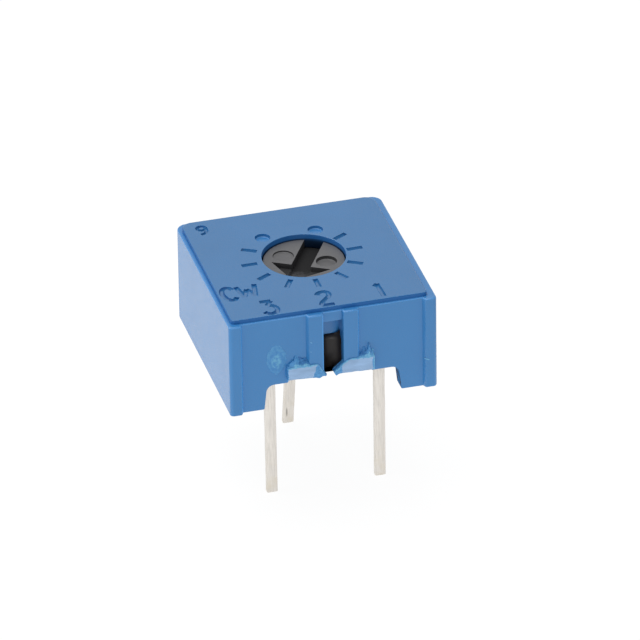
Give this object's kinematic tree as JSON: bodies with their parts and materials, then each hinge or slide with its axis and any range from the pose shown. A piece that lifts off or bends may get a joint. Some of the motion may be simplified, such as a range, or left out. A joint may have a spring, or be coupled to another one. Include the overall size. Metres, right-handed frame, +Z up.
{
  "type": "trimmer potentiometer",
  "caption": "Square blue single-turn trimmer potentiometer with a slotted top-adjusted rotor in a dial hole, stand-off feet, a ribbed grooved front and flat tinned leads.",
  "frame": {"origin": "centre of the housing in plan, at the level of the lead tips", "axes": "+Z up, away from the circuit board; the grooved front faces -Y; lead 1 is on the +X side and lead 3 on the -X side"},
  "size_m": [0.0096, 0.0096, 0.0103],
  "materials": {
    "housing": "moulded blue thermoplastic, satin",
    "rotor": "moulded dark grey thermoplastic, matt",
    "seal": "black elastomer",
    "wiper": "bright spring alloy, stamped",
    "ceramic": "white alumina, matt",
    "resistive_ink": "fired black resistive ink",
    "conductive_ink": "fired silver conductive ink",
    "lead": "tinned, satin",
    "solder": "bright solder",
    "potting": "glossy black epoxy"
  },
  "bodies": {
    "body": {"housing": "housing", "substrate": "ceramic", "resistive_track": "resistive_ink", "end_film_1": "conductive_ink", "end_film_3": "conductive_ink", "collector_film": "conductive_ink", "lead_1": "lead", "lead_2": "lead", "lead_3": "lead", "solder_1": "solder", "solder_2": "solder", "solder_3": "solder", "potting": "potting"},
    "rotor": {"rotor": "rotor", "rotor_seal": "seal", "wiper": "wiper"}
  },
  "joints": [
    {"name": "rotor_turn", "type": "hinge", "parent": "body", "child": "rotor", "pos_m": [0, 0.0002, 0.0095], "axis": [0, 0, 1], "range_deg": [-125, 185]}
  ]
}
